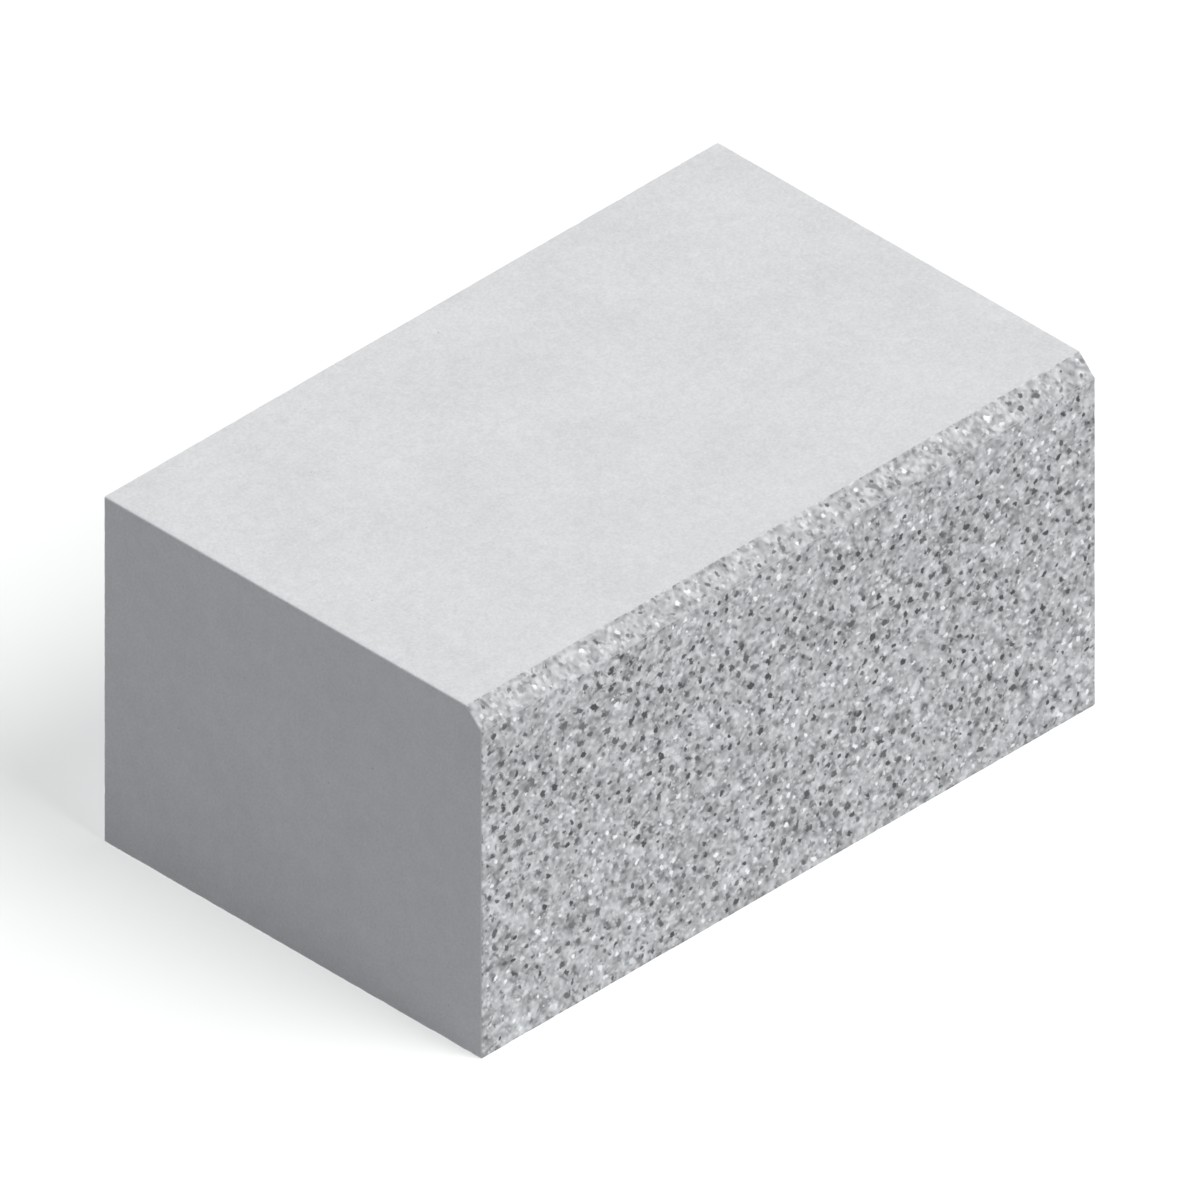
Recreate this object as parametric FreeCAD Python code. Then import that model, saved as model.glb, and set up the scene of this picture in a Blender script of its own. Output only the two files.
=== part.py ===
"""Solid concrete facing block: one cast piece with a 45 degree chamfer along its top front edge.

Row frame, in millimetres: X runs along the block's length, Y through its depth with the finished face at -Y,
and Z is up. The origin is the centre of the bed face, the flat underside that is laid on mortar.
"""

import FreeCAD
import Part
import math
import os

# Work size: the 400 x 250 x 200 coordinating size less one 10 mm joint each way.
JOINT = 10.0
LENGTH = 400.0 - JOINT  # X, along the wall
DEPTH = 250.0 - JOINT  # Y, through the wall
HEIGHT = 200.0 - JOINT  # Z, one course
CHAMFER = 10.0  # leg of the 45 degree chamfer on the top front edge
ARRIS_R = 1.0  # radius that the mould leaves on every arris

# Depth and height of the block's section, going round it from the bed's front edge. X is the length.
BACK_Y = DEPTH / 2.0
FRONT_Y = -DEPTH / 2.0
SECTION = [
    (FRONT_Y, 0.0),
    (BACK_Y, 0.0),
    (BACK_Y, HEIGHT),
    (FRONT_Y + CHAMFER, HEIGHT),
    (FRONT_Y, HEIGHT - CHAMFER),
]


def block():
    """The chamfered section extruded along the length, with every arris eased."""
    corners = [FreeCAD.Vector(-LENGTH / 2.0, y, z) for y, z in SECTION]
    outline = Part.makePolygon(corners + corners[:1])
    solid = Part.Face(outline).extrude(FreeCAD.Vector(LENGTH, 0, 0))
    eased = solid.makeFillet(ARRIS_R, solid.Edges)
    return Part.Solid(eased.Solids[0])


def main():
    os.makedirs("parts", exist_ok=True)
    solid = block()
    box = solid.BoundBox
    sharp = (
        LENGTH * (DEPTH * HEIGHT - CHAMFER * CHAMFER / 2.0)
    )  # volume before the arrises are eased
    assert solid.isValid() and solid.isClosed()
    assert math.isclose(box.XLength, LENGTH, abs_tol=0.01)
    assert math.isclose(box.YLength, DEPTH, abs_tol=0.01)
    assert math.isclose(box.ZLength, HEIGHT, abs_tol=0.01)
    assert 0.998 * sharp < solid.Volume < sharp
    solid.exportStep("parts/concrete_block.step")
    print(
        "concrete_block %.1f x %.1f x %.1f mm, %.4f litres, %d faces"
        % (box.XLength, box.YLength, box.ZLength, solid.Volume / 1e6, len(solid.Faces))
    )


main()
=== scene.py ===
"""Looks of the solid concrete facing block.

The block is one cast piece, so it is one mesh: the front face and its chamfer have their cement skin taken off, so that
grains of aggregate stand in the paste, and the other faces keep the smooth skin that the mould left, with a few air holes.
All lengths in this file are in millimetres, in the frame of the CAD model, until the mesh is made.
"""
import math

import bpy
import numpy as np
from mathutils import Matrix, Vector
from mathutils.geometry import delaunay_2d_cdt


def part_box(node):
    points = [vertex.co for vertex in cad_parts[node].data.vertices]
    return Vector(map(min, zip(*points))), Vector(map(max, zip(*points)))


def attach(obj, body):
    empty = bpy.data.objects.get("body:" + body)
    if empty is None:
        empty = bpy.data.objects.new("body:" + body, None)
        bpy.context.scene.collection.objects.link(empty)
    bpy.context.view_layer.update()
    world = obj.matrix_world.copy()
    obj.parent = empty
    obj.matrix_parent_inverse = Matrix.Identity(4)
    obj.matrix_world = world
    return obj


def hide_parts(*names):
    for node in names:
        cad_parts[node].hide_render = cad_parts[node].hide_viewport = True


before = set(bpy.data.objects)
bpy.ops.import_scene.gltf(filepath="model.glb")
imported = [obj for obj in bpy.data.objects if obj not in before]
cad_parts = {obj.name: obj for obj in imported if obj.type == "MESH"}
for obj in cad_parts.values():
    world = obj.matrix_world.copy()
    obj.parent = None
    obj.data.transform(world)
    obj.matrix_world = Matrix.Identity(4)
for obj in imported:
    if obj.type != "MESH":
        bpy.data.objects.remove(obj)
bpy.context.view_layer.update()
NODE = "concrete_block"
MM = 1000.0

# ---------------------------------------------------------------- sizes, from the CAD model
low, high = (np.array(c, float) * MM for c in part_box(NODE))
X1 = float(high[0])
Y0, Y1 = float(low[1]), float(high[1])
Z0, Z1 = float(low[2]), float(high[2])
CHAMFER = 10.0  # leg of the 45 degree chamfer
R = 1.0  # radius of every arris
INSET = X1 - R  # the flat part of each side runs from -INSET to INSET

FINE = 1.0  # spacing of points on an arris that meets the exposed face
PLAIN = 1.5  # and on the other arrises
SEED = 20260

rng = np.random.default_rng(SEED)

# ---------------------------------------------------------------- camera, first
# A true isometric view from the left of the front face, with no perspective.
AZIMUTH, ELEVATION = math.radians(-45.0), math.asin(math.tan(math.radians(30.0)))
BACK = Vector((math.sin(AZIMUTH) * math.cos(ELEVATION), -math.cos(AZIMUTH) * math.cos(ELEVATION), math.sin(ELEVATION)))
RIGHT = Vector((math.cos(AZIMUTH), math.sin(AZIMUTH), 0.0))
UP = BACK.cross(RIGHT)
cam_data = bpy.data.cameras.new("camera")
cam_data.type = "ORTHO"
cam_data.ortho_scale = 0.53868
cam_data.clip_start, cam_data.clip_end = 0.01, 60.0
cam = bpy.data.objects.new("camera", cam_data)
bpy.context.scene.collection.objects.link(cam)
cam.location = RIGHT * 0.00015 + UP * 0.07785 + BACK * 3.0
cam.rotation_mode = "QUATERNION"
cam.rotation_quaternion = (-BACK).to_track_quat("-Z", "Y")
bpy.context.scene.camera = cam


# ---------------------------------------------------------------- small tools
def scramble(i, j, k, seed):
    """A number from 0 to 1 for each whole-number point, always the same one."""
    h = (
        i.astype(np.int64).astype(np.uint64) * np.uint64(73856093)
        ^ j.astype(np.int64).astype(np.uint64) * np.uint64(19349663)
        ^ k.astype(np.int64).astype(np.uint64) * np.uint64(83492791)
        ^ np.uint64(seed * 2654435761 % (1 << 32))
    )
    h &= np.uint64(0xFFFFFFFF)
    for mult in (0x7FEB352D, 0x846CA68B):
        h ^= h >> np.uint64(16)
        h = h * np.uint64(mult) & np.uint64(0xFFFFFFFF)
    h ^= h >> np.uint64(15)
    return h.astype(float) / 4294967295.0


def noise(p, cell, seed):
    """Smooth value noise from -1 to 1 at points p, with lumps about one cell across."""
    q = np.asarray(p, float) / cell + 1000.0
    base = np.floor(q)
    f = q - base
    f = f * f * f * (f * (f * 6 - 15) + 10)
    i, j, k = base.T
    total = 0.0
    for a in (0, 1):
        wa = f[:, 0] if a else 1 - f[:, 0]
        for b in (0, 1):
            wb = f[:, 1] if b else 1 - f[:, 1]
            for c in (0, 1):
                wc = f[:, 2] if c else 1 - f[:, 2]
                total = total + wa * wb * wc * scramble(i + a, j + b, k + c, seed)
    return total * 2 - 1


def smoothstep(x, a, b):
    t = np.clip((np.asarray(x, float) - a) / (b - a), 0, 1)
    return t * t * (3 - 2 * t)


def spread(a, b, step):
    """Points from a to b, both included, about step apart."""
    return np.linspace(a, b, max(2, int(round(abs(b - a) / step)) + 1))


# ---------------------------------------------------------------- section of the block
# Corners of the section, from the front of the bed up and round, and the same section set in by the arris radius.
CORNERS = np.array([(Y0, Z0), (Y0, Z1 - CHAMFER), (Y0 + CHAMFER, Z1), (Y1, Z1), (Y1, Z0)])
SIDES = ["front", "chamfer", "top", "back", "bed"]
along = np.roll(CORNERS, -1, 0) - CORNERS
along /= np.linalg.norm(along, axis=1)[:, None]
OUT = np.stack([-along[:, 1], along[:, 0]], 1)  # outward normal of each side, (y, z)
inner = []
for i in range(5):
    # meet of the two sides beside corner i, each moved in by R
    a, b = OUT[i - 1], OUT[i]
    inner.append(np.linalg.solve(np.array([a, b]), np.array([a @ CORNERS[i] - R, b @ CORNERS[i] - R])))
INNER = np.array(inner)
TURN = [math.acos(float(np.clip(OUT[i - 1] @ OUT[i], -1, 1))) for i in range(5)]  # what each arris turns by

# ---------------------------------------------------------------- vertices and triangles
P, N, MASK, TONE, DEPTH = [], [], [], [], []  # place, outward normal, and what the finish needs
TRIS, FINISH = [], []  # triangles, and 0 for the exposed face or 1 for the skin
count = 0


def add(p, n, depth=0.0, mask=0.0, tone=0.0):
    """Adds points and returns their numbers. depth is how far each lies below the smooth face."""
    global count
    p = np.atleast_2d(np.asarray(p, float))
    k = len(p)
    n = np.broadcast_to(np.asarray(n, float), (k, 3))
    P.append(p)
    N.append(n)
    for store, value in ((DEPTH, depth), (MASK, mask), (TONE, tone)):
        store.append(np.broadcast_to(np.asarray(value, float), (k,)))
    ids = np.arange(count, count + k)
    count += k
    return ids


def add_tris(t, finish):
    t = np.asarray(t, int).reshape(-1, 3)
    TRIS.append(t)
    FINISH.append(np.broadcast_to(np.asarray(finish, int), (len(t),)))


def strip(a, b, finish):
    """Quads between two lines of as many points, as triangles. Equal neighbours at one side give one triangle."""
    a, b = np.asarray(a), np.asarray(b)
    q = np.stack([a[:-1], a[1:], b[1:], b[:-1]], 1)
    t = np.concatenate([q[:, [0, 1, 2]], q[:, [0, 2, 3]]])
    good = (t[:, 0] != t[:, 1]) & (t[:, 1] != t[:, 2]) & (t[:, 2] != t[:, 0])
    add_tris(t[good], finish)


def fill(uv, ids, finish):
    """Triangles over flat points uv, whose numbers are ids."""
    made = delaunay_2d_cdt([Vector(p) for p in np.asarray(uv, float).tolist()], [], [], 0, 1e-7, True)
    source = np.array([o[0] for o in made[3]], int)
    t = source[np.array(made[2], int)]
    pts = np.asarray(uv, float)[t]
    e, f = pts[:, 1] - pts[:, 0], pts[:, 2] - pts[:, 0]
    area = np.abs(e[:, 0] * f[:, 1] - e[:, 1] * f[:, 0])
    add_tris(np.asarray(ids)[t[area > 1e-7]], finish)


def section3(x, yz):
    yz = np.atleast_2d(yz)
    return np.column_stack([np.broadcast_to(x, (len(yz),)), yz])


# ---------------------------------------------------------------- grains of the exposed face
# The front, the arris above it and the chamfer are one strip, laid flat: x along the block and t up the face.
FACE_A = np.linalg.norm(INNER[1] - INNER[0])
FOLD = R * TURN[1]
FACE_B = np.linalg.norm(INNER[2] - INNER[1])
T = FACE_A + FOLD + FACE_B


def wrap(x, t):
    """Place and outward normal of points of the strip."""
    x, t = np.asarray(x, float), np.asarray(t, float)
    on_a = np.clip(t, 0, FACE_A)
    on_b = np.clip(t - FACE_A - FOLD, 0, FACE_B)
    angle = np.clip((t - FACE_A) / R, 0, TURN[1])
    # OUT[0] turned towards OUT[1] by the angle
    n = np.stack([OUT[0][0] * np.cos(angle) + along[0][0] * np.sin(angle), OUT[0][1] * np.cos(angle) + along[0][1] * np.sin(angle)], 1)
    q = INNER[0] + on_a[:, None] * along[0] + on_b[:, None] * along[1]
    yz = q + R * n
    return np.column_stack([x, yz]), np.column_stack([np.zeros(len(x)), n])


DRAWN_OUT = 1.08


def sow():
    """Where the grains lie: x, t, radius, longer-axis ratio, turn, kind. Kinds are dark, light, mid and pit."""
    area = 2 * INSET * T / 100.0
    plan = []
    for kind, per_cm2, middle, spread_, least, most, ratio in (
        ("dark", 1.20, 2.04, 0.28, 1.15, 3.5, 1.7),
        ("pit", 0.18, 1.05, 0.25, 0.65, 1.7, 1.5),
        ("light", 1.20, 1.66, 0.24, 1.00, 2.7, 1.5),
        ("mid", 0.95, 1.90, 0.24, 1.15, 3.1, 1.4),
    ):
        n = int(round(per_cm2 * area))
        r = np.clip(middle * np.exp(spread_ * rng.standard_normal(n)), least, most)
        for one, a, turn in zip(r, rng.uniform(1.0, ratio, n), rng.uniform(0, math.pi, n)):
            plan.append((float(one), float(a), float(turn), kind))
    plan.sort(key=lambda g: -g[0] * math.sqrt(g[1]))
    cell, cells, placed, dark_ones = 6.0, {}, [], []
    for r, a, turn, kind in plan:
        reach = r * math.sqrt(a) * 1.06 * (0.5 + 0.5 * DRAWN_OUT)
        margin = reach + 0.55
        tries = list(zip(rng.uniform(-INSET + margin, INSET - margin, 60).tolist(), rng.uniform(margin, T - margin, 60).tolist()))
        if kind == "dark" and dark_ones and rng.random() < 0.58:
            for _ in range(8):  # beside another dark grain
                ox, ot, oreach = dark_ones[int(rng.integers(len(dark_ones)))]
                way, far = rng.uniform(0, 6.28), reach + oreach + 0.18
                x, t = ox + far * math.cos(way), ot + far * math.sin(way)
                if abs(x) < INSET - margin and margin < t < T - margin:
                    tries.insert(0, (x, t))
        for x, t in tries:
            if abs(t - FACE_A - FOLD / 2) < reach + 0.55:  # no grain lies across the arris
                continue
            i, j = int(x // cell), int(t // cell)
            free = True
            for di in (-1, 0, 1):
                for dj in (-1, 0, 1):
                    for ox, ot, oreach in cells.get((i + di, j + dj), ()):
                        gap = reach + oreach + 0.16
                        if (x - ox) ** 2 + (t - ot) ** 2 < gap * gap:
                            free = False
                            break
                    if not free:
                        break
                if not free:
                    break
            if free:
                cells.setdefault((i, j), []).append((x, t, reach))
                placed.append((x, t, r, a, turn, kind, reach))
                if kind == "dark":
                    dark_ones.append((x, t, reach))
                break
    return placed, cells, cell


grains, cells, cell = sow()
counts = {k: sum(g[5] == k for g in grains) for k in ("dark", "pit", "light", "mid")}
print("grains", counts)


def near_grain(x, t, gap):
    """Whether each point lies within gap of a grain."""
    hit = np.zeros(len(x), bool)
    for n, (px, pt) in enumerate(zip(np.asarray(x).tolist(), np.asarray(t).tolist())):
        i, j = int(px // cell), int(pt // cell)
        for di in (-1, 0, 1):
            for dj in (-1, 0, 1):
                for ox, ot, reach in cells.get((i + di, j + dj), ()):
                    if (px - ox) ** 2 + (pt - ot) ** 2 < (reach + gap) ** 2:
                        hit[n] = True
    return hit


# ---------------------------------------------------------------- arris lines along the block
x_fine, x_plain = spread(-INSET, INSET, FINE), spread(-INSET, INSET, PLAIN)


def arris(i, xs, steps):
    """Lines of points along arris i, from the side before it to the side after it."""
    lines = []
    start = math.atan2(OUT[i - 1][1], OUT[i - 1][0])
    for s in range(steps + 1):
        angle = start - TURN[i] * s / steps
        n = np.array([math.cos(angle), math.sin(angle)])
        yz = INNER[i] + R * n
        lines.append(add(np.column_stack([xs, np.broadcast_to(yz, (len(xs), 2))]), (0.0, n[0], n[1])))
    return lines


turning = OUT[0][0] * OUT[1][1] - OUT[0][1] * OUT[1][0]
assert turning < 0, "the section runs clockwise, so each arris turns clockwise too"
ARRIS = {
    0: arris(0, x_fine, 4),  # bed to front
    2: arris(2, x_fine, 2),  # chamfer to top
    3: arris(3, x_plain, 4),  # top to back
    4: arris(4, x_plain, 4),  # back to bed
}
for i, lines in ARRIS.items():
    for s in range(len(lines) - 1):
        middle = (s + 0.5) / (len(lines) - 1)
        exposed = (i == 0 and middle > 0.5) or (i == 2 and middle < 0.5)
        strip(lines[s], lines[s + 1], 0 if exposed else 1)

# ---------------------------------------------------------------- points along each end of each side
# For the end at x = s * INSET, the ring of points round the section in order: (inner point, outward normal, number).
RINGS = {-1: [], 1: []}


def end_points(side, s, step):
    """Inner points between the two arrises of a side, without them, with their numbers."""
    a, b = INNER[side], INNER[(side + 1) % 5]
    q = a + (b - a) * spread(0, 1, step / np.linalg.norm(b - a))[1:-1, None]
    yz = q + R * OUT[side]
    ids = add(section3(s * INSET, yz), (0.0, OUT[side][0], OUT[side][1]))
    return q, ids


t_fine = np.concatenate([spread(0, FACE_A, FINE), FACE_A + spread(0, FOLD, FOLD / 2)[1:], FACE_A + FOLD + spread(0, FACE_B, FINE)[1:]])
edge_ids = {}
for s in (-1, 1):
    ring = RINGS[s]
    pick = 0 if s < 0 else -1

    def arc(i):
        lines = ARRIS[i]
        for line in lines:
            n = N_of(line[pick])
            ring.append((INNER[i], n, int(line[pick])))

    def N_of(number):
        start = 0
        for block in N:
            if number < start + len(block):
                return block[number - start][1:]
            start += len(block)

    arc(0)
    # front, fold and chamfer, without the first and last point, which are on the arrises
    p3, n3 = wrap(np.full(len(t_fine) - 2, s * INSET), t_fine[1:-1])
    ids = add(p3, n3)
    edge_ids[("strip", s)] = ids
    for p, n, k in zip(p3, n3, ids):
        ring.append((p[1:] - R * n[1:], n[1:], int(k)))
    arc(2)
    q, ids = end_points(2, s, PLAIN)
    edge_ids[("top", s)] = ids
    for a, k in zip(q, ids):
        ring.append((a, OUT[2], int(k)))
    arc(3)
    q, ids = end_points(3, s, PLAIN)
    edge_ids[("back", s)] = ids
    for a, k in zip(q, ids):
        ring.append((a, OUT[3], int(k)))
    arc(4)
    q, ids = end_points(4, s, PLAIN)
    edge_ids[("bed", s)] = ids
    for a, k in zip(q, ids):
        ring.append((a, OUT[4], int(k)))

# ---------------------------------------------------------------- the exposed strip
sx, st, s_depth, s_mask, s_tone = [], [], [], [], []


def put(x, t, depth, mask, tone):
    x = np.atleast_1d(x)
    sx.append(x)
    st.append(np.atleast_1d(t))
    for store, value in ((s_depth, depth), (s_mask, mask), (s_tone, tone)):
        store.append(np.broadcast_to(np.asarray(value, float), (len(x),)))


PASTE = 0.25  # how far the paste between the grains is worn back


def paste(x, t):
    """Depth of the paste, uneven as blasting leaves it."""
    p = np.column_stack([x, t, np.zeros(len(np.atleast_1d(x)))])
    return np.clip(PASTE + 0.07 * noise(p, 2.6, 11) + 0.07 * noise(p, 8.0, 12) + 0.05 * noise(p, 30.0, 13), 0.08, 0.7)


for x, t, r, a, turn, kind, reach in grains:
    corners = 7 if kind == "dark" or r > 1.2 else 6
    angles = (np.arange(corners) + rng.uniform(-0.22, 0.22, corners)) * 2 * math.pi / corners + rng.uniform(0, 6.28)
    size = r * rng.uniform(0.88, 1.08, corners)
    ex, et = np.cos(angles) * size * math.sqrt(a), np.sin(angles) * size / math.sqrt(a)
    c, s_ = math.cos(turn), math.sin(turn)
    dx, dt = ex * c - et * s_, ex * s_ + et * c
    # all grains are drawn out a little the same way, down to the right
    aslant, upright = (dx - dt) / 2 * DRAWN_OUT, (dx + dt) / 2 / DRAWN_OUT
    dx, dt = upright + aslant, upright - aslant
    around = paste(x + dx, t + dt)
    if kind == "mid":
        tone = float(np.clip(1.0 + 0.22 * rng.standard_normal(), 0.6, 1.4))
        top = rng.uniform(0.06, 0.22)
        put(x, t, top, 1.0, tone)
        put(x + dx, t + dt, around, 0.0, tone)
        continue
    if kind == "dark":
        tone, top, shrink = rng.uniform(0.11, 0.40), rng.uniform(0.02, 0.18), 0.48
    elif kind == "pit":
        # a pit's darker tone is painted shade in its hollow, added to the shade of its real depth
        tone, top, shrink = rng.uniform(0.40, 0.62), rng.uniform(0.65, 1.05), 0.55
    else:
        tone, top, shrink = rng.uniform(1.42, 2.05), rng.uniform(0.0, 0.14), 0.44
    lean = rng.uniform(-0.05, 0.05, 2)
    put(x, t, max(0.0, top - (0.03 if kind != "pit" else -0.08)), 1.25, tone)
    put(x + dx * shrink, t + dt * shrink, np.clip(top + 0.03 + dx * lean[0] + dt * lean[1], 0, 1.4), 0.66, tone)
    put(x + dx, t + dt, around, -0.08, tone)

# rows along the fold, and a guard row inside each edge of the strip, where no grain lies
for t in (FACE_A, FACE_A + FOLD / 2, FACE_A + FOLD):
    x = spread(-INSET, INSET, FINE)[1:-1]
    x = x[~near_grain(x, np.full(len(x), t), 0.12)]
    put(x, np.full(len(x), t), paste(x, np.full(len(x), t)), 0.0, 1.0)
for t in (0.8, T - 0.8):
    x = spread(-INSET, INSET, FINE)[1:-1] + 0.5 * FINE
    x = x[:-1]
    x = x[~near_grain(x, np.full(len(x), t), 0.25)]
    put(x, np.full(len(x), t), paste(x, np.full(len(x), t)), 0.0, 1.0)
for x in (-INSET + 0.8, INSET - 0.8):
    t = spread(1.4, T - 1.4, FINE)
    t = t[np.abs(t - FACE_A - FOLD / 2) > 0.9]
    t = t[~near_grain(np.full(len(t), x), t, 0.25)]
    put(np.full(len(t), x), t, paste(np.full(len(t), x), t), 0.0, 1.0)
# paste between the grains
step = 1.55
rows = np.arange(1.6, T - 1.6, step * math.sqrt(3) / 2)
gx, gt = [], []
for k, t in enumerate(rows):
    x = np.arange(-INSET + 1.7 + (k % 2) * step / 2, INSET - 1.7, step)
    gx.append(x + rng.uniform(-0.25, 0.25, len(x)))
    gt.append(t + rng.uniform(-0.25, 0.25, len(x)))
gx, gt = np.concatenate(gx), np.concatenate(gt)
keep = ~near_grain(gx, gt, 0.55) & (np.abs(gt - FACE_A - FOLD / 2) > 1.1)
put(gx[keep], gt[keep], paste(gx[keep], gt[keep]), 0.0, 1.0)

sx, st = np.concatenate(sx), np.concatenate(st)
s_depth, s_mask, s_tone = (np.concatenate(v) for v in (s_depth, s_mask, s_tone))
p3, n3 = wrap(sx, st)
inside = add(p3, n3, s_depth, s_mask, s_tone)
border_uv, border_ids = [], []
for line, t in ((ARRIS[0][-1], 0.0), (ARRIS[2][0], T)):
    border_uv.append(np.column_stack([x_fine, np.full(len(x_fine), t)]))
    border_ids.append(line)
for s in (-1, 1):
    border_uv.append(np.column_stack([np.full(len(t_fine) - 2, s * INSET), t_fine[1:-1]]))
    border_ids.append(edge_ids[("strip", s)])
fill(np.concatenate([np.column_stack([sx, st])] + border_uv), np.concatenate([inside] + border_ids), 0)
print("exposed strip points", len(sx))


# ---------------------------------------------------------------- plain faces
def lattice(distance, box, bands, holes):
    """Points of a flat face, close together near its edges and further apart inside. distance gives how far points lie
    from the nearest edge, bands are (from, to, spacing), and holes are (u, v, radius), kept clear."""
    found = []
    for start, stop, step in bands:
        rows = np.arange(box[1] + 0.37 * step, box[3], step * math.sqrt(3) / 2)
        for k, v in enumerate(rows):
            u = np.arange(box[0] + (0.21 + 0.5 * (k % 2)) * step, box[2], step)
            pts = np.column_stack([u, np.full(len(u), v)])
            d = distance(pts)
            pts = pts[(d >= start) & (d < stop)]
            if len(pts):
                found.append(pts + rng.uniform(-0.12, 0.12, pts.shape) * step)
    pts = np.concatenate(found)
    for u, v, r in holes:
        pts = pts[(pts[:, 0] - u) ** 2 + (pts[:, 1] - v) ** 2 > (1.45 * r + 0.9) ** 2]
    return pts


BANDS = [(1.0, 2.4, 1.6), (2.4, 5.5, 2.5), (5.5, 12.0, 3.9), (12.0, 1e9, 5.4)]


def air_holes(box, margin, number, middle, keep_in):
    """Small holes that trapped air leaves against the mould, of about that middle radius."""
    found = []
    while len(found) < number:
        u, v = rng.uniform(box[0] + margin, box[2] - margin), rng.uniform(box[1] + margin, box[3] - margin)
        r = float(np.clip(middle * math.exp(0.38 * rng.standard_normal()), 0.24, 1.5))
        if keep_in(np.array([[u, v]]))[0] < margin:
            continue
        if all((u - a) ** 2 + (v - b) ** 2 > (2 * (r + c) + 2.5) ** 2 for a, b, c in found):
            found.append((float(u), float(v), r))
    return found


def plain_face(place, normal, distance, box, border_uv, border_ids, number, middle):
    """Fills a flat face. place turns flat points into 3-D ones."""
    holes = air_holes(box, 4.5, number, middle, distance)
    uv = [lattice(distance, box, BANDS, holes)]
    depth, mask = [np.zeros(len(uv[0]))], [np.zeros(len(uv[0]))]
    for u, v, r in holes:
        deep = r * rng.uniform(0.45, 0.80)
        start, flat = rng.uniform(0, 6.28), rng.uniform(0.75, 1.0)
        turn = rng.uniform(0, 3.14)
        for share, n, d, m in ((0.0, 1, deep, 1.0), (0.55, 6, 0.85 * deep, 1.0), (0.92, 8, 0.30 * deep, 0.75), (1.12, 8, 0.04, 0.0), (1.5, 8, 0.0, 0.0)):
            a = start + np.arange(n) * 2 * math.pi / n + (0.3 if n == 6 else 0)
            x, y = share * r * np.cos(a), share * r * np.sin(a) * flat
            uv.append(np.column_stack([u + x * math.cos(turn) - y * math.sin(turn), v + x * math.sin(turn) + y * math.cos(turn)]))
            depth.append(np.full(n, d))
            mask.append(np.full(n, m))
    uv, depth, mask = np.concatenate(uv), np.concatenate(depth), np.concatenate(mask)
    ids = add(place(uv), normal, depth, mask, 0.0)
    fill(np.concatenate([uv] + border_uv), np.concatenate([ids] + border_ids), 1)
    return len(holes)


def side_face(side, name, before, after, number, middle):
    """A plain side between the arris line before it and the one after it. v runs along the section."""
    a = INNER[side] + R * OUT[side]
    length = float(np.linalg.norm(INNER[(side + 1) % 5] - INNER[side]))
    xs_before = x_fine if len(before) == len(x_fine) else x_plain
    xs_after = x_fine if len(after) == len(x_fine) else x_plain
    border_uv = [np.column_stack([xs_before, np.zeros(len(xs_before))]), np.column_stack([xs_after, np.full(len(xs_after), length)])]
    border_ids = [before, after]
    vs = spread(0, 1, PLAIN / length)[1:-1] * length
    for s in (-1, 1):
        border_uv.append(np.column_stack([np.full(len(vs), s * INSET), vs]))
        border_ids.append(edge_ids[(name, s)])

    def place(uv):
        return np.column_stack([uv[:, 0], a + uv[:, 1:2] * along[side]])

    def distance(uv):
        return np.minimum(np.minimum(uv[:, 0] + INSET, INSET - uv[:, 0]), np.minimum(uv[:, 1], length - uv[:, 1]))

    plain_face(place, (0.0, OUT[side][0], OUT[side][1]), distance, (-INSET, 0.0, INSET, length), border_uv, border_ids, number, middle)


side_face(2, "top", ARRIS[2][-1], ARRIS[3][0], 14, 0.42)
side_face(3, "back", ARRIS[3][-1], ARRIS[4][0], 30, 0.62)
side_face(4, "bed", ARRIS[4][-1], ARRIS[0][0], 26, 0.66)

# ---------------------------------------------------------------- rounded rims and the two ends
RIM_STEPS = 4
for s in (-1, 1):
    ring = RINGS[s]
    q = np.array([r[0] for r in ring])
    n = np.array([r[1] for r in ring])
    before = np.array([r[2] for r in ring])
    # which finish each step of the ring has: the exposed face goes round to the middle of its arrises
    m = n + np.roll(n, -1, 0)
    m /= np.linalg.norm(m, axis=1)[:, None]
    exposed = (m @ OUT[0] > math.cos(math.radians(45.0))) | (m @ OUT[1] > math.cos(math.radians(22.5)))
    for step in range(1, RIM_STEPS + 1):
        psi = math.pi / 2 * step / RIM_STEPS
        if step < RIM_STEPS:
            p = np.column_stack([np.full(len(q), s * (INSET + R * math.sin(psi))), q + R * math.cos(psi) * n])
            nn = np.column_stack([np.full(len(q), s * math.sin(psi)), math.cos(psi) * n])
            now = add(p, nn)
        else:
            # at the end face the points of one arris fall together
            first = {}
            now = np.zeros(len(q), int)
            fresh = []
            for k in range(len(q)):
                key = (round(float(q[k][0]), 6), round(float(q[k][1]), 6))
                if key not in first:
                    first[key] = len(fresh)
                    fresh.append(q[k])
                now[k] = first[key]
            ids = add(section3(s * X1, np.array(fresh)), (float(s), 0.0, 0.0))
            cap_uv, cap_ids = np.array(fresh), ids
            now = ids[now]
        middle = (step - 0.5) / RIM_STEPS
        a, b = np.append(before, before[0]), np.append(now, now[0])
        quad = np.stack([a[:-1], a[1:], b[1:], b[:-1]], 1)
        fin = np.where(exposed & (middle < 0.5), 0, 1)
        t = np.concatenate([quad[:, [0, 1, 2]], quad[:, [0, 2, 3]]])
        f = np.concatenate([fin, fin])
        good = (t[:, 0] != t[:, 1]) & (t[:, 1] != t[:, 2]) & (t[:, 2] != t[:, 0])
        add_tris(t[good], f[good])
        before = now

    def place(uv, s=s):
        return section3(s * X1, uv)

    def distance(uv):
        return np.min([(INNER[i] - uv) @ OUT[i] for i in range(5)], axis=0)

    box = (INNER[:, 0].min(), INNER[:, 1].min(), INNER[:, 0].max(), INNER[:, 1].max())
    plain_face(place, (float(s), 0.0, 0.0), distance, box, [cap_uv], [cap_ids], 12 if s < 0 else 16, 0.42 if s < 0 else 0.60)

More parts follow.
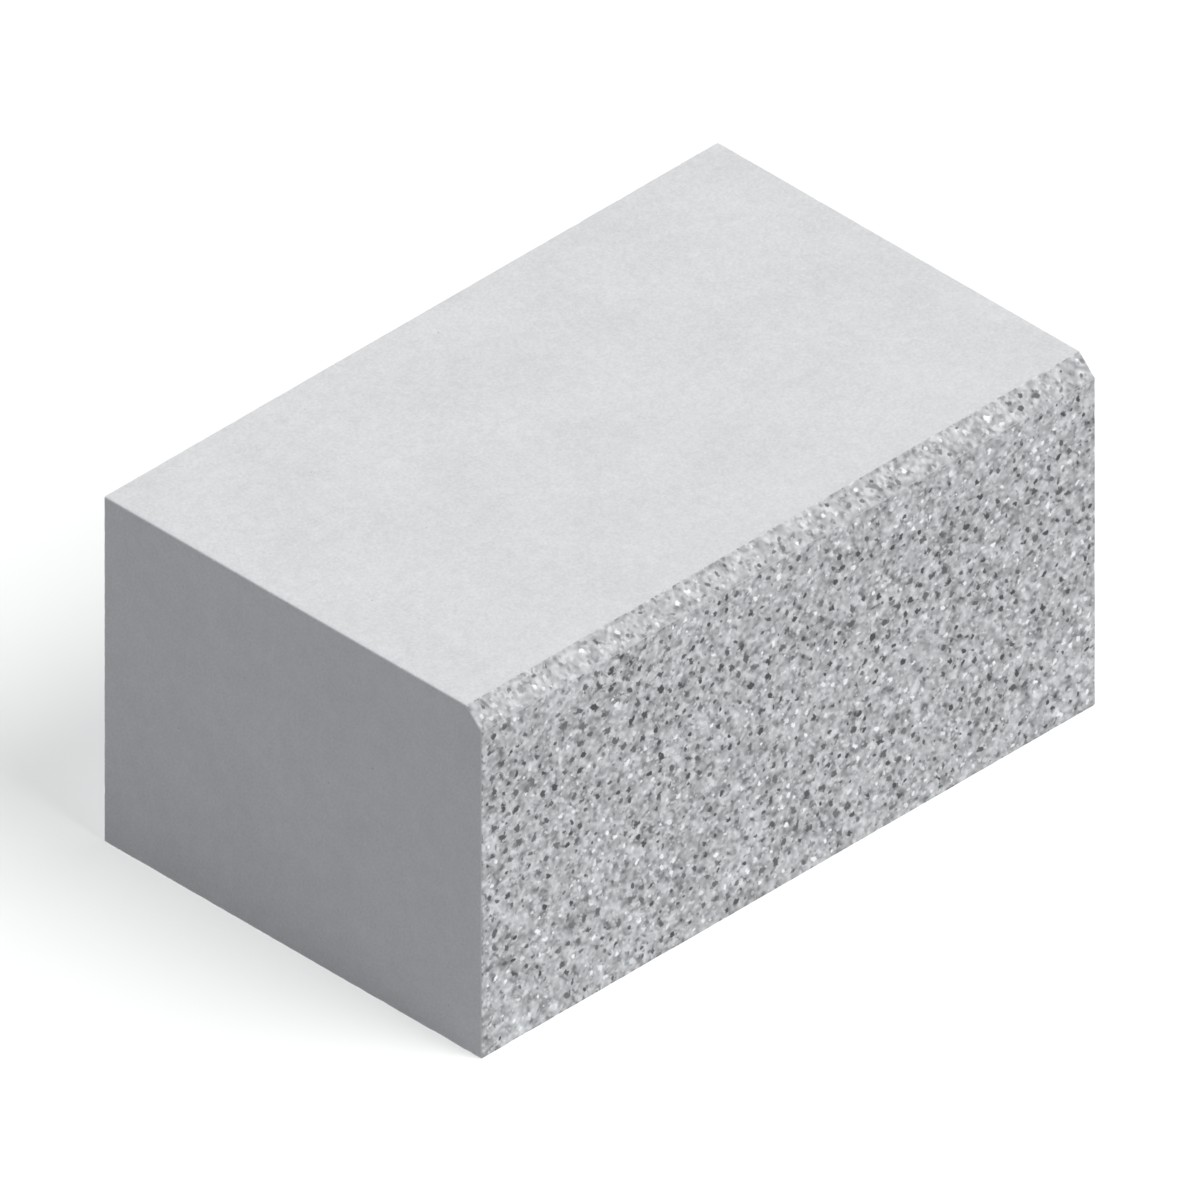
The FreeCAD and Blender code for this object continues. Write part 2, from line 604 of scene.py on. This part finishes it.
# ---------------------------------------------------------------- put together
P, N = np.concatenate(P), np.concatenate(N)
MASK, TONE, DEPTH = (np.concatenate(v) for v in (MASK, TONE, DEPTH))
TRIS, FINISH = np.concatenate(TRIS), np.concatenate(FINISH)
# how far each point is from the nearest sharp corner line of the block, had its arrises no radius
gap = [(CORNERS[i] - P[:, 1:]) @ OUT[i] for i in range(5)] + [X1 - P[:, 0], X1 + P[:, 0]]
gap = np.sort(np.stack([np.abs(g) for g in gap]), axis=0)
edge = np.hypot(gap[0], gap[1])
wear = 1 - smoothstep(edge, 0.5, 2.6)
crumble = 0.05 + 0.10 * (0.5 + 0.5 * noise(P, 3.2, 21)) ** 2 + 0.16 * np.clip(noise(P, 7.0, 22), 0, 1) ** 2
strip_fade = smoothstep(edge, 0.9, 2.0)
exposed_point = np.zeros(len(P), bool)
exposed_point[inside] = True
DEPTH = np.where(exposed_point, DEPTH * (0.35 + 0.65 * strip_fade), DEPTH)
# the smooth faces aren't dead flat: broad, shallow hollows, none at the arrises
swell = smoothstep(edge, 1.5, 30.0) * 0.06 * (1 + noise(P, 70.0, 31))
grit = smoothstep(edge, 1.0, 3.0) * 0.012 * (1 + noise(P, 6.0, 32))
DEPTH = DEPTH + np.where(exposed_point, 0.0, swell + grit) + wear * crumble
moved = P - N * DEPTH[:, None]

# every triangle faces outwards
a, b, c = P[TRIS[:, 0]], P[TRIS[:, 1]], P[TRIS[:, 2]]
face_n = np.cross(b - a, c - a)
out = N[TRIS].sum(1)
turned = (face_n * out).sum(1) < 0
TRIS[turned] = TRIS[turned][:, ::-1]
print("points", len(P), "triangles", len(TRIS))

mesh = bpy.data.meshes.new("block")
mesh.vertices.add(len(moved))
mesh.vertices.foreach_set("co", (moved / MM).astype(np.float32).ravel())
mesh.loops.add(len(TRIS) * 3)
mesh.loops.foreach_set("vertex_index", TRIS.astype(np.int32).ravel())
mesh.polygons.add(len(TRIS))
mesh.polygons.foreach_set("loop_start", (np.arange(len(TRIS)) * 3).astype(np.int32))
mesh.polygons.foreach_set("material_index", FINISH.astype(np.int32))
mesh.polygons.foreach_set("use_smooth", np.ones(len(TRIS), bool))
mesh.update(calc_edges=True)
CHAMFER_PAINTED_SHADE = smoothstep(N[:, 2], 0.20, 0.60)  # 1 on the chamfer and 0 on the front; it carries the chamfer's painted shade
FOLD_WEAR_AND_HIGHLIGHT = np.clip(1 - np.abs(N[:, 2] - math.sin(TURN[1] / 2)) / 0.30, 0, 1) * (np.abs(N[:, 0]) < 0.5)  # 1 on the arris between front and chamfer, where the colour is rubbed paler and painted as a highlight line
for name, values in (("grain", MASK), ("tone", TONE), ("chamfer_painted_shade", CHAMFER_PAINTED_SHADE), ("fold_wear_and_highlight", FOLD_WEAR_AND_HIGHLIGHT)):
    layer = mesh.attributes.new(name, "FLOAT", "POINT")
    layer.data.foreach_set("value", values.astype(np.float32))

# ---------------------------------------------------------------- map for baked pictures
# Each flat side is laid out square to itself. The exposed face and its chamfer get about twice the detail of the rest.
FACES = [(np.array([0.0, *OUT[i]]), name) for i, name in enumerate(SIDES)] + [(np.array([-1.0, 0, 0]), "left"), (np.array([1.0, 0, 0]), "right")]
a, b, c = P[TRIS[:, 0]], P[TRIS[:, 1]], P[TRIS[:, 2]]
face_n = np.cross(b - a, c - a)
side_of = np.argmax(np.stack([face_n @ f[0] for f in FACES]), axis=0)
side_of[(FINISH == 0) & (side_of > 1)] = 0
BIG, SMALL = 2.55, 1.16
XL = 2 * X1
place = {  # first corner in picture points of 1/1024, scale, and the two axes measured from the lowest corner
    "front": (14.0, 4.0, BIG, "xz"),
    "chamfer": (14.0, 4.0 + BIG * (Z1 - CHAMFER) + 5.0, BIG, "xc"),
    "back": (3.0, 508.0, SMALL, "xz"),
    "left": (3.0 + SMALL * XL + 4.0, 508.0, SMALL, "yz"),
    "right": (3.0 + SMALL * XL + 4.0 + SMALL * (Y1 - Y0) + 4.0, 508.0, SMALL, "yz"),
    "top": (3.0, 508.0 + SMALL * Z1 + 4.0, SMALL, "xy"),
    "bed": (3.0 + SMALL * XL + 4.0, 508.0 + SMALL * Z1 + 4.0, SMALL, "xy"),
}
uv = np.zeros((len(TRIS), 3, 2))
corners = P[TRIS]
for k, (_, name) in enumerate(FACES):
    u0, v0, scale, axes = place[name]
    m = side_of == k
    x, y, z = (corners[m][:, :, i] for i in range(3))
    u = {"x": x + X1, "y": y - Y0}[axes[0]]
    v = {"z": z - Z0, "y": y - Y0, "c": ((y - Y0) + (z - Z1 + CHAMFER)) / math.sqrt(2)}[axes[1]]
    uv[m] = np.stack([u0 + scale * u, v0 + scale * v], -1) / 1024.0
print("map reaches", uv.reshape(-1, 2).min(0).round(4), uv.reshape(-1, 2).max(0).round(4))
layer = mesh.uv_layers.new(name="OFBake")
layer.data.foreach_set("uv", uv.astype(np.float32).ravel())

block = bpy.data.objects.new("block_surface", mesh)
bpy.context.scene.collection.objects.link(block)


# ---------------------------------------------------------------- materials
class Nodes:
    """Short ways to add and join the nodes of one material."""

    def __init__(self, name):
        self.mat = bpy.data.materials.new(name)
        self.mat.use_nodes = True
        self.tree = self.mat.node_tree
        self.tree.nodes.clear()
        self.out = self.tree.nodes.new("ShaderNodeOutputMaterial")
        self.bsdf = self.tree.nodes.new("ShaderNodeBsdfPrincipled")
        self.tree.links.new(self.bsdf.outputs[0], self.out.inputs["Surface"])
        self.co = self.tree.nodes.new("ShaderNodeTexCoord").outputs["Object"]

    def draw_out(self, by):
        """Patterns made after this are longer by that factor down to the right, and as much shorter across."""
        n = self.tree.nodes.new("ShaderNodeMapping")
        n.vector_type = "TEXTURE"
        self.link(self.co, n.inputs["Vector"])
        n.inputs["Rotation"].default_value = (0.0, math.radians(45.0), 0.0)
        n.inputs["Scale"].default_value = (by, 1.0, 1.0 / by)
        self.co = n.outputs[0]

    def link(self, value, socket):
        if isinstance(value, bpy.types.NodeSocket):
            self.tree.links.new(value, socket)
        else:
            socket.default_value = value

    def maths(self, op, a, b=None, c=None, clamp=False):
        n = self.tree.nodes.new("ShaderNodeMath")
        n.operation, n.use_clamp = op, clamp
        for socket, value in zip(n.inputs, (a, b, c)):
            if value is not None:
                self.link(value, socket)
        return n.outputs[0]

    def shift(self, vector, by):
        n = self.tree.nodes.new("ShaderNodeVectorMath")
        n.operation = "ADD"
        self.link(vector, n.inputs[0])
        n.inputs[1].default_value = by
        return n.outputs[0]

    def noise(self, size_mm, detail=0.0, rough=0.5, distortion=0.0, offset=(0, 0, 0), vector=None):
        """Noise with lumps of about size_mm, from 0 to 1 with its middle at 0.5."""
        n = self.tree.nodes.new("ShaderNodeTexNoise")
        n.noise_dimensions = "3D"
        self.link(self.shift(vector or self.co, offset), n.inputs["Vector"])
        n.inputs["Scale"].default_value = MM / size_mm
        n.inputs["Detail"].default_value = detail
        n.inputs["Roughness"].default_value = rough
        n.inputs["Distortion"].default_value = distortion
        return n.outputs["Fac"]

    def cells(self, size_mm, offset=(0, 0, 0), feature="F1", vector=None):
        """Cells of about size_mm: distance to the middle, in cells, and a random colour for each."""
        n = self.tree.nodes.new("ShaderNodeTexVoronoi")
        n.voronoi_dimensions, n.feature = "3D", feature
        self.link(self.shift(vector or self.co, offset), n.inputs["Vector"])
        n.inputs["Scale"].default_value = MM / size_mm
        return n.outputs["Distance"], n.outputs.get("Color")

    def parts(self, colour):
        n = self.tree.nodes.new("ShaderNodeSeparateColor")
        self.link(colour, n.inputs[0])
        return n.outputs

    def ramp(self, x, a, b, lo=0.0, hi=1.0, smooth=True):
        n = self.tree.nodes.new("ShaderNodeMapRange")
        n.interpolation_type = "SMOOTHSTEP" if smooth else "LINEAR"
        n.clamp = True
        self.link(x, n.inputs["Value"])
        for name, value in (("From Min", a), ("From Max", b), ("To Min", lo), ("To Max", hi)):
            n.inputs[name].default_value = value
        return n.outputs[0]

    def mix(self, factor, a, b):
        """Mixes two numbers."""
        n = self.tree.nodes.new("ShaderNodeMix")
        n.data_type = "FLOAT"
        self.link(factor, n.inputs[0])
        self.link(a, n.inputs[2])
        self.link(b, n.inputs[3])
        return n.outputs[0]

    def mix_colour(self, factor, a, b):
        n = self.tree.nodes.new("ShaderNodeMix")
        n.data_type = "RGBA"
        self.link(factor, n.inputs[0])
        self.link(a, n.inputs[6])
        self.link(b, n.inputs[7])
        return n.outputs[2]

    def attribute(self, name):
        n = self.tree.nodes.new("ShaderNodeAttribute")
        n.attribute_name = name
        return n.outputs["Fac"]

    def tinted(self, value, tint):
        """A colour from a brightness: the brightness times a tint."""
        n = self.tree.nodes.new("ShaderNodeVectorMath")
        n.operation = "SCALE"
        n.inputs[0].default_value = tint
        self.link(value, n.inputs["Scale"])
        return n.outputs[0]

    def bump(self, height, distance_mm, strength=1.0, normal=None):
        n = self.tree.nodes.new("ShaderNodeBump")
        n.inputs["Distance"].default_value = distance_mm / MM
        n.inputs["Strength"].default_value = strength
        self.link(height, n.inputs["Height"])
        if normal is not None:
            self.link(normal, n.inputs["Normal"])
        return n.outputs[0]


GREY = (0.982, 0.995, 1.028)  # the slight blue of the cement, kept at the same brightness
ALBEDO = 0.45


def centred(m, value, amount):
    """amount times the value's distance from 0.5."""
    return m.maths("MULTIPLY", m.maths("SUBTRACT", value, 0.5), amount)


def exposed_aggregate():
    m = Nodes("exposed_aggregate")
    m.draw_out(DRAWN_OUT)
    paste_fine = m.noise(2.75, 0.3, 0.5, 0.2)
    paste_lumps = m.noise(4.4, 0.5, 0.5, 0.5, (0.31, 0.07, 0.19))
    patches = m.noise(11.0, 1.0, 0.5, 0.0, (0.11, 0.43, 0.27))
    broad = m.noise(48.0, 1.0, 0.5, 0.0, (0.53, 0.21, 0.37))
    shade = m.maths("ADD", 1.0, centred(m, paste_fine, 1.08))
    shade = m.maths("ADD", shade, centred(m, paste_lumps, 1.20))
    shade = m.maths("ADD", shade, centred(m, patches, 0.36))
    shade = m.maths("ADD", shade, centred(m, broad, 0.20))
    # irregular spots where the sand lies close and where the paste is pale
    close = m.ramp(m.noise(3.7, 0.5, 0.5, 0.3, (0.83, 0.19, 0.47)), 0.61, 0.77)
    chalky = m.ramp(m.noise(3.4, 0.5, 0.5, 0.3, (0.29, 0.67, 0.91)), 0.62, 0.80)
    shade = m.mix(m.maths("MULTIPLY", close, 0.85), shade, 0.36)
    shade = m.mix(m.maths("MULTIPLY", chalky, 0.80), shade, 1.58)
    # coarse sand in the paste: small dark and pale specks
    dist, colour = m.cells(2.4, (0.17, 0.29, 0.41))
    pick = m.parts(colour)
    speck = m.ramp(dist, 0.20, 0.48, 1.0, 0.0)
    dark = m.maths("MULTIPLY", speck, m.ramp(pick[0], 0.14, 0.18, 1.0, 0.0))
    pale = m.maths("MULTIPLY", speck, m.ramp(pick[1], 0.17, 0.21, 1.0, 0.0))
    shade = m.mix(m.maths("MULTIPLY", dark, 0.55), shade, 0.42)
    shade = m.mix(m.maths("MULTIPLY", pale, 0.60), shade, 1.55)
    # the grains, whose places are in the mesh
    grain, tone = m.attribute("grain"), m.attribute("tone")
    mineral = m.noise(1.1, 0.8, 0.5, 0.3, (0.61, 0.13, 0.05))
    own = m.maths("MULTIPLY", tone, m.maths("ADD", 1.0, centred(m, mineral, 0.30)))
    wobble = m.noise(1.9, 0.8, 0.5, 0.4, (0.37, 0.17, 0.71))
    edge = m.ramp(m.maths("ADD", grain, centred(m, wobble, 2.1)), 0.10, 0.80)
    shade = m.mix(edge, shade, own)
    # painted shade: the chamfer faces up and gets more light, so its colour is made a little darker and less contrasted
    # than the front's
    shade = m.mix(m.maths("MULTIPLY", m.attribute("chamfer_painted_shade"), 0.18), shade, 0.92)
    # the arris between front and chamfer is rubbed a little paler, and this pale line is also a painted highlight along
    # the fold
    shade = m.mix(m.maths("MULTIPLY", m.attribute("fold_wear_and_highlight"), 0.75), shade, 1.36)
    shade = m.maths("MINIMUM", m.maths("MAXIMUM", shade, 0.16), 2.05)
    m.link(m.tinted(m.maths("MULTIPLY", shade, ALBEDO), GREY), m.bsdf.inputs["Base Color"])
    rough = m.mix(edge, m.maths("ADD", 0.90, centred(m, paste_fine, 0.12)), m.maths("ADD", 0.70, centred(m, mineral, 0.30)))
    m.link(rough, m.bsdf.inputs["Roughness"])
    m.bsdf.inputs["Specular IOR Level"].default_value = 0.35
    sand = m.maths("MULTIPLY", speck, 0.5)
    height = m.maths("ADD", m.maths("MULTIPLY", paste_fine, 0.8), sand)
    height = m.mix(edge, height, m.maths("MULTIPLY", mineral, 0.35))
    m.link(m.bump(height, 0.12, 0.45), m.bsdf.inputs["Normal"])
    return m.mat


def cast_skin():
    m = Nodes("cast_skin")
    grit = m.noise(1.3, 2.0, 0.6, 0.2, (0.07, 0.33, 0.51))
    cloud = m.noise(7.0, 2.0, 0.55, 0.5, (0.41, 0.23, 0.11))
    broad = m.noise(42.0, 2.0, 0.5, 0.3, (0.19, 0.59, 0.03))
    shade = m.maths("ADD", 1.0, centred(m, grit, 0.34))
    shade = m.maths("ADD", shade, centred(m, cloud, 0.15))
    shade = m.maths("ADD", shade, centred(m, broad, 0.12))
    # pores that are too small to be in the mesh: dark dots of painted shade in the colour, and dents in the bump
    dist, colour = m.cells(3.1, (0.23, 0.47, 0.13))
    pick = m.parts(colour)
    size = m.ramp(pick[2], 0.0, 1.0, 0.05, 0.13, smooth=False)
    pore_shade_and_dent = m.maths("MULTIPLY", m.maths("LESS_THAN", dist, size), m.maths("LESS_THAN", pick[0], 0.15))
    hole_painted_shade = m.attribute("grain")
    shade = m.mix(m.maths("MULTIPLY", pore_shade_and_dent, 0.34), shade, 0.60)
    # painted shade: the air holes, dented in the mesh, are also coloured darker inside
    shade = m.mix(m.ramp(hole_painted_shade, 0.1, 1.0), shade, 0.82)
    m.link(m.tinted(m.maths("MULTIPLY", shade, ALBEDO), GREY), m.bsdf.inputs["Base Color"])
    m.link(m.maths("ADD", 0.86, centred(m, cloud, 0.16)), m.bsdf.inputs["Roughness"])
    m.bsdf.inputs["Specular IOR Level"].default_value = 0.35
    height = m.maths("SUBTRACT", m.maths("ADD", m.maths("MULTIPLY", grit, 0.7), m.maths("MULTIPLY", cloud, 0.5)), m.maths("MULTIPLY", pore_shade_and_dent, 0.8))
    m.link(m.bump(height, 0.08, 0.5), m.bsdf.inputs["Normal"])
    return m.mat


mesh.materials.append(exposed_aggregate())
mesh.materials.append(cast_skin())
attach(block, "root")
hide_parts(NODE)

# ---------------------------------------------------------------- floor and light
FLOOR = 0.66
floor_mesh = bpy.data.meshes.new("floor")
side = 40.0
floor_mesh.from_pydata([(-side, -side, 0), (side, -side, 0), (side, side, 0), (-side, side, 0)], [], [(0, 1, 2, 3)])
floor = bpy.data.objects.new("floor", floor_mesh)
bpy.context.scene.collection.objects.link(floor)
floor.location.z = float(low[2]) / MM
floor_mat = bpy.data.materials.new("pale_floor")
floor_mat.use_nodes = True
bsdf = floor_mat.node_tree.nodes["Principled BSDF"]
bsdf.inputs["Base Color"].default_value = (0.993 * FLOOR, FLOOR, 1.008 * FLOOR, 1)
bsdf.inputs["Roughness"].default_value = 1.0
bsdf.inputs["Specular IOR Level"].default_value = 0.0
floor_mesh.materials.append(floor_mat)


def studio_light(name, towards, strength, width, colour, shadow):
    """A large, far and soft light. towards points at it, and its length times strength is what it gives a face that looks at it."""
    data = bpy.data.lights.new(name, "SUN")
    data.energy = math.pi * strength * Vector(towards).length
    data.angle = math.radians(width)
    data.color = colour
    data.use_shadow = shadow
    light = bpy.data.objects.new(name, data)
    bpy.context.scene.collection.objects.link(light)
    light.rotation_mode = "QUATERNION"
    light.rotation_quaternion = Vector(towards).to_track_quat("Z", "Y")
    light.location = Vector(towards).normalized() * 2.0


WARM = (1.0, 0.995, 0.972)
studio_light("key", (0.13, -0.40, 0.58), 1.0, 34.0, WARM, True)
studio_light("top_light", (0.15, 0.44, 0.84), 1.0, 30.0, WARM, False)

world = bpy.data.worlds.new("studio")
bpy.context.scene.world = world
world.use_nodes = True
tree = world.node_tree
tree.nodes.clear()
out = tree.nodes.new("ShaderNodeOutputWorld")
seen, fill_light = tree.nodes.new("ShaderNodeBackground"), tree.nodes.new("ShaderNodeBackground")
seen.inputs["Color"].default_value = (1, 1, 1, 1)
fill_light.inputs["Color"].default_value = (0.93, 0.975, 1.10, 1)
fill_light.inputs["Strength"].default_value = 0.15
path, both = tree.nodes.new("ShaderNodeLightPath"), tree.nodes.new("ShaderNodeMixShader")
tree.links.new(path.outputs["Is Camera Ray"], both.inputs[0])
tree.links.new(fill_light.outputs[0], both.inputs[1])
tree.links.new(seen.outputs[0], both.inputs[2])
tree.links.new(both.outputs[0], out.inputs["Surface"])

bpy.context.scene.view_settings.view_transform = "Standard"
bpy.context.scene.view_settings.look = "None"
